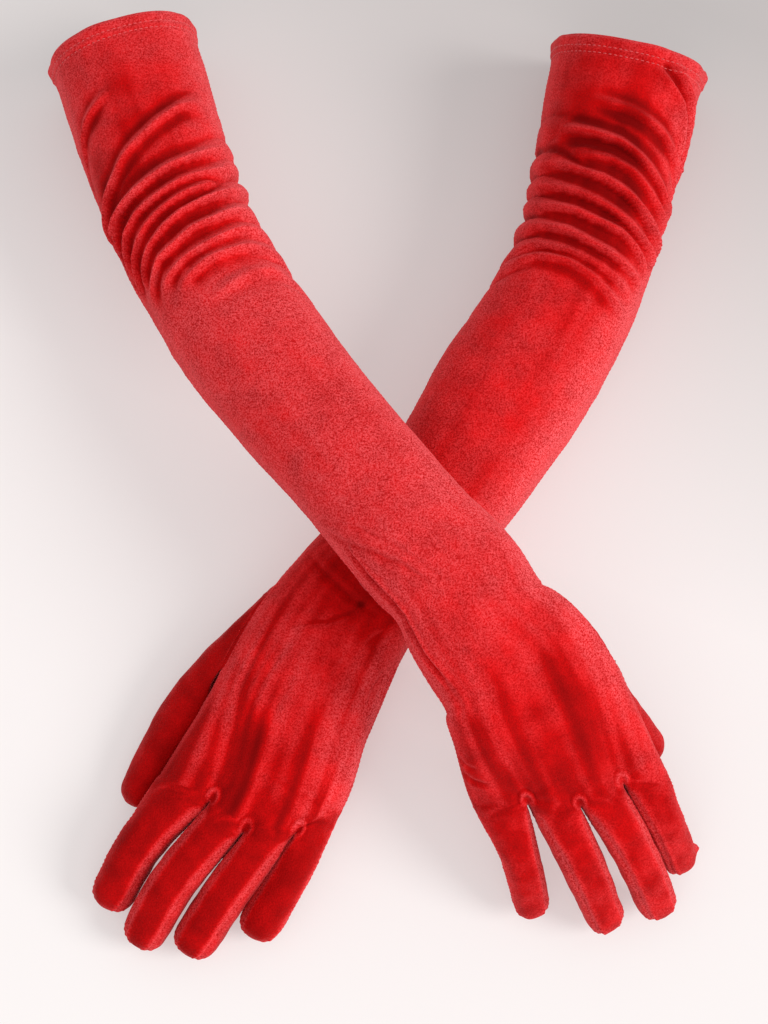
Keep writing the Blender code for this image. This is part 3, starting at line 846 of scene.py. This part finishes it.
def tube(points, radius, sides=6):
    """Verts and quads of a thread along the points, closed at both ends by a pinch."""
    points = np.asarray(points)
    way = unit(np.gradient(points, axis=0))
    a = unit(np.cross(way, np.array([0.3, 0.5, 0.81])))
    b = np.cross(way, a)
    r = np.full(len(points), radius)
    r[0] = r[-1] = radius * 0.35
    ang = np.arange(sides) * 2 * pi / sides
    verts = (points[:, None] + r[:, None, None] * (np.cos(ang)[None, :, None] * a[:, None]
             + np.sin(ang)[None, :, None] * b[:, None])).reshape(-1, 3)
    faces = []
    for k in range(len(points) - 1):
        for c in range(sides):
            d = (c + 1) % sides
            faces.append((k * sides + c, k * sides + d, (k + 1) * sides + d,
                          (k + 1) * sides + c))
    return verts, np.array(faces)


def joined(meshes):
    """One set of points and faces out of several."""
    starts = np.cumsum([0] + [len(points) for points, _ in meshes])
    return (np.concatenate([points for points, _ in meshes]),
            np.concatenate([faces + start for (_, faces), start in zip(meshes, starts)]))


STITCH_PITCH, STITCH_LENGTH, THREAD_RADIUS = 2.7, 2.0, 0.21


def stitch_row(co, normals, quads, values, level, theta):
    """Dashes of thread lying in the cloth along one row round the hem."""
    points, norm, which = contour(co, normals, quads, values, level)
    order = np.argsort(theta[which] % 360)
    path = points[order]
    keep = np.concatenate([[True], np.linalg.norm(np.diff(path, axis=0), axis=1) > 0.05])
    path, norm = path[keep], norm[order][keep]
    path = np.vstack([path, path[:1]])
    norm = np.vstack([norm, norm[:1]])
    gaps = np.linalg.norm(np.diff(path, axis=0), axis=1)
    way = np.concatenate([[0], np.cumsum(gaps)])
    count = int(way[-1] / STITCH_PITCH)
    dip = (np.array([-0.9, 0.15, 0.5, 0.15, -0.9]) * THREAD_RADIUS)[:, None]
    stitches = []
    for k in range(count):
        w = (k + 0.5) * way[-1] / count + np.linspace(-0.5, 0.5, 5) * STITCH_LENGTH
        p = np.stack([np.interp(w, way, path[:, i]) for i in range(3)], 1)
        q = unit(np.stack([np.interp(w, way, norm[:, i]) for i in range(3)], 1))
        stitches.append(tube(p + q * dip, THREAD_RADIUS))
    return joined(stitches)


def seam_strip(co, normals, index, s):
    """The two sewn-down edges of cloth inside the outer-side seam."""
    order = index[np.argsort(s[index])]
    path, norm = co[order], normals[order]
    side_way = unit(np.cross(unit(np.gradient(path, axis=0)), norm))
    profile = [(-3.0, 0.95), (-0.15, 1.0), (-0.15, 1.75), (-3.0, 1.6),
               (0.15, 1.0), (3.0, 0.95), (3.0, 1.6), (0.15, 1.75)]
    verts = np.stack([path + side_way * x - norm * y for x, y in profile], 1)
    m = len(profile)
    faces = []
    last = (len(path) - 1) * m
    for loop in ((0, 1, 2, 3), (4, 5, 6, 7)):
        for k in range(0, last, m):
            for a, b in zip(loop, loop[1:] + loop[:1]):
                faces.append((k + a, k + b, k + m + b, k + m + a))
        faces.append(loop[::-1])
        faces.append(tuple(last + i for i in loop))
    return verts.reshape(-1, 3), np.array(faces)


# ---------------------------------------------------------------- materials
def put(n, **inputs):
    for key, value in inputs.items():
        n.inputs[key.replace("_", " ")].default_value = value
    return n


def node(tree, kind, **inputs):
    return put(tree.nodes.new(kind), **inputs)


def texture(tree, kind, **inputs):
    """A texture that is fixed to the object."""
    n = node(tree, kind, **inputs)
    where = node(tree, "ShaderNodeTexCoord")
    tree.links.new(where.outputs["Object"], n.inputs["Vector"])
    return n


def new_material(name):
    material = bpy.data.materials.new(name)
    material.use_nodes = True
    tree = material.node_tree
    return material, tree, tree.nodes["Principled BSDF"]


def ramp(tree, fac, first, last):
    """Colour by a number: each stop is a position and the colour there."""
    r = node(tree, "ShaderNodeValToRGB")
    for element, stop in zip(r.color_ramp.elements, (first, last)):
        element.position, element.color = stop
    tree.links.new(fac, r.inputs["Fac"])
    return r.outputs["Color"]


def darker(colour, share):
    return [c * share for c in colour[:3]] + [1]


def mix_colour(tree, factor):
    mix = node(tree, "ShaderNodeMix")
    mix.data_type = "RGBA"
    tree.links.new(factor, mix.inputs["Factor"])
    return mix


def velvet(name, deep, body, sheen_fleck, sheen, tint):
    """Pile fabric: saturated where it faces you, with painted sheen (light specks mixed into the
    colour) where it is seen from the side, and painted highlight and painted shade from the
    stored tone."""
    material, tree, shader = new_material(name)
    link = tree.links.new
    # Fine grain of the velvet; it also places the specks of painted sheen.
    nap_and_light = texture(tree, "ShaderNodeTexNoise", Scale=1250.0, Detail=2.0, Roughness=0.6)
    crush = texture(tree, "ShaderNodeTexNoise", Scale=70.0, Detail=5.0, Roughness=0.65)
    nap_and_light_tone = node(tree, "ShaderNodeAttribute")
    nap_and_light_tone.attribute_name = "nap_and_light"
    grain = node(tree, "ShaderNodeMix", Factor=0.5)
    link(crush.outputs["Fac"], grain.inputs["A"])
    link(nap_and_light.outputs["Fac"], grain.inputs["B"])
    lay = ramp(tree, grain.outputs["Result"], (0.38, deep), (0.62, body))
    # Painted shade: where the stored tone is low, the colour darkens towards a shade colour.
    lit_share = node(tree, "ShaderNodeMapRange", From_Min=-0.5, From_Max=0.15)
    link(nap_and_light_tone.outputs["Fac"], lit_share.inputs["Value"])
    shaded = mix_colour(tree, lit_share.outputs["Result"])
    shaded.inputs["A"].default_value = darker(deep, 0.45)
    link(lay, shaded.inputs["B"])
    specks = ramp(tree, nap_and_light.outputs["Fac"], (0.38, (0.08, 0.08, 0.08, 1)), (0.66, (1, 1, 1, 1)))
    # Painted sheen: light specks mixed into the colour where the surface is seen side-on and
    # where the stored tone paints a highlight.
    side_on = node(tree, "ShaderNodeLayerWeight", Blend=0.35)
    painted_sheen = node(tree, "ShaderNodeMath")
    painted_sheen.operation = "MULTIPLY_ADD"
    link(side_on.outputs["Facing"], painted_sheen.inputs[0])
    painted_sheen.inputs[1].default_value = 0.55
    link(nap_and_light_tone.outputs["Fac"], painted_sheen.inputs[2])
    amount = node(tree, "ShaderNodeMath")
    amount.operation = "MULTIPLY"
    amount.use_clamp = True
    link(specks, amount.inputs[0])
    link(painted_sheen.outputs[0], amount.inputs[1])
    mix = mix_colour(tree, amount.outputs[0])
    link(shaded.outputs["Result"], mix.inputs["A"])
    mix.inputs["B"].default_value = sheen_fleck
    link(mix.outputs["Result"], shader.inputs["Base Color"])
    put(shader, Roughness=0.72, Specular_IOR_Level=0.12, Specular_Tint=(1.0, 0.3, 0.3, 1),
        Sheen_Weight=sheen, Sheen_Roughness=0.36, Sheen_Tint=tint)
    bump = node(tree, "ShaderNodeBump", Strength=0.9, Distance=0.0005)
    link(nap_and_light.outputs["Fac"], bump.inputs["Height"])
    link(bump.outputs["Normal"], shader.inputs["Normal"])
    return material


def knit(name, colour):
    """The smooth knitted back of the velvet."""
    material, tree, shader = new_material(name)
    link = tree.links.new
    wale = texture(tree, "ShaderNodeTexVoronoi", Scale=1400.0)
    tone = ramp(tree, wale.outputs["Distance"], (0.0, darker(colour, 0.7)), (0.6, colour))
    link(tone, shader.inputs["Base Color"])
    bump = node(tree, "ShaderNodeBump", Strength=0.3, Distance=0.0002)
    link(wale.outputs["Distance"], bump.inputs["Height"])
    link(bump.outputs["Normal"], shader.inputs["Normal"])
    put(shader, Roughness=0.8)
    return material


def thread(name, colour):
    """Twisted sewing thread."""
    material, tree, shader = new_material(name)
    twist = texture(tree, "ShaderNodeTexWave", Scale=900.0, Distortion=2.0)
    tone = ramp(tree, twist.outputs["Fac"], (0.0, darker(colour, 0.7)), (1.0, colour))
    tree.links.new(tone, shader.inputs["Base Color"])
    put(shader, Roughness=0.5, Sheen_Weight=0.3)
    return material


# The third colour of each velvet is its painted sheen, mixed in where it is seen side-on or
# painted as highlight.
DEEP_RED, RED = (0.40, 0.0015, 0.002, 1), (0.73, 0.003, 0.004, 1)
VELVET = velvet("red_velvet", DEEP_RED, RED, (0.90, 0.115, 0.13, 1), 0.45,
                (1.0, 0.12, 0.13, 1))
HEM_VELVET = velvet("red_velvet_hem", DEEP_RED, RED, (0.90, 0.12, 0.135, 1), 0.55,
                    (1.0, 0.13, 0.14, 1))
WALL_VELVET = velvet("red_velvet_fourchette", (0.35, 0.0015, 0.002, 1),
                     (0.65, 0.003, 0.004, 1), (0.86, 0.12, 0.13, 1), 0.6,
                     (1.0, 0.14, 0.15, 1))
KNIT = knit("knit_backing", (0.42, 0.012, 0.018, 1))
ALLOWANCE = knit("overlocked_edge", (0.38, 0.006, 0.012, 1))
THREAD = thread("red_thread", (0.80, 0.07, 0.08, 1))


# ---------------------------------------------------------------- the pair
# The two halves of the sleeve, the pieces that get a knit backing.
SLEEVE_PANELS = ("back_panel", "palm_panel")


def finish_of(part):
    """The material of a piece and the record's slot that it stands for."""
    if part == "hem":
        return HEM_VELVET, "hem_velvet"
    if part.endswith(("inner", "outer")):
        return WALL_VELVET, "fourchette_velvet"
    return VELVET, "velvet"


def body_for(name, part):
    if part == "thumb":
        return name + "_thumb"
    finger = part.split("_")[0]
    return f"{name}_{finger}_finger" if finger in FINGERS else None


def build_glove(name, side):
    cage, plan = build_cage(name, side)
    co, quads, parts, val = subdivide(cage, name)
    on_arm = (val["arm"][quads[:, 0]] > 0.99) & (val["s"][quads[:, 0]] > 60)
    highest = np.argmax(np.where(on_arm, co[quads[:, 0], 2], -1e9))
    if vertex_normals(co, quads)[quads[highest, 0]][2] < 0:
        quads = quads[:, ::-1]
    co = shape_cloth(name, co, quads, val, plan)
    normals = vertex_normals(co, quads)
    hand = name + "_glove"
    theta = np.degrees(np.arctan2(val["st"], val["ct"]))
    for part, index in PART.items():
        chosen = quads[parts == index]
        if not len(chosen):
            continue
        skin, slot = finish_of(part)
        piece = cut_piece(f"{name}_{part}_cloth", co, normals, val["nap_and_light"], chosen, [skin, KNIT],
                          part in SLEEVE_PANELS)
        mover = body_for(name, part)
        if mover is None:
            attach(piece, hand)
        else:
            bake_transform(piece)
        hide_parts(f"{name}_{NODE_OF.get(part, part)}")

    hem = quads[parts == PART["hem"]]
    points, faces = joined([stitch_row(co, normals, hem, val["s"], level, theta)
                            for level in STITCH_ROWS])
    stitches = mesh_object(f"{name}_hem_threads", to_world(points), faces, [THREAD])
    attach(stitches, hand)
    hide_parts(name + "_hem_stitching")

    on_seam = np.where((val["seam"] > 0.999) & (val["arm"] > 0.999)
                       & (np.abs(theta) > 170) & (val["s"] > HEM))[0]
    points, faces = seam_strip(co, normals, on_seam, val["s"])
    strip = mesh_object(f"{name}_seam_edges", to_world(points), faces, [ALLOWANCE])
    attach(strip, hand)
    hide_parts(name + "_side_seam")


build_glove("left", -1)
build_glove("right", 1)


# ---------------------------------------------------------------- stage
def glowing_floor_with_painted_falloff(near, far, rough, glow):
    """A surface that glows with painted light and darkens in a painted falloff towards its far
    right corner.
    """
    material, tree, shader = new_material("glowing_floor_with_painted_falloff")
    slope = texture(tree, "ShaderNodeVectorMath")
    slope.operation = "DOT_PRODUCT"
    slope.inputs[1].default_value = (1.1, 2.6, 0)
    painted_falloff = ramp(tree, slope.outputs["Value"], (0.0, near), (0.85, far))
    tree.links.new(painted_falloff, shader.inputs["Base Color"])
    tree.links.new(painted_falloff, shader.inputs["Emission Color"])
    put(shader, Roughness=rough, Specular_IOR_Level=0.1, Emission_Strength=glow)
    return material


# The floor's glow is painted light; its colour and glow fall off towards the far right as painted
# shade.
floor = mesh_object("floor", [(-4, -4, 0), (4, -4, 0), (4, 4, 0), (-4, 4, 0)], [(0, 1, 2, 3)],
                    [glowing_floor_with_painted_falloff((0.49, 0.472, 0.470, 1), (0.29, 0.275, 0.273, 1), 0.8, 0.83)])


def aimed(name, data, where, at):
    """Places a light or a camera at `where`, looking at `at`."""
    obj = bpy.data.objects.new(name, data)
    obj.location = where
    obj.rotation_euler = (Vector(at) - Vector(where)).to_track_quat("-Z", "Y").to_euler()
    bpy.context.scene.collection.objects.link(obj)
    return obj


key = bpy.data.lights.new("key", "SUN")
key.energy, key.angle, key.color = 2.05, radians(28), (1.0, 0.98, 0.96)
aimed("key", key, (1.0, -0.25, 0.75), (0, 0, 0))
front = bpy.data.lights.new("front", "AREA")
front.shape, front.size, front.energy = "DISK", 1.4, 5
aimed("front", front, (-0.1, -1.0, 1.5), (0, -0.25, 0))
world = bpy.data.worlds.new("studio")
bpy.context.scene.world = world
world.use_nodes = True
put(world.node_tree.nodes["Background"], Color=(1.0, 0.97, 0.96, 1), Strength=0.66)
bpy.context.scene.view_settings.view_transform = "Standard"

camera_data = bpy.data.cameras.new("camera")
camera_data.lens, camera_data.sensor_width, camera_data.sensor_height = 95, 36, 36
camera_data.sensor_fit = "VERTICAL"
target = Vector((0.0038, -0.0222, 0.045))
tilt, distance = radians(77), 1.30
bpy.context.scene.camera = aimed(
    "camera", camera_data, target - distance * Vector((0, cos(tilt), -sin(tilt))), target)
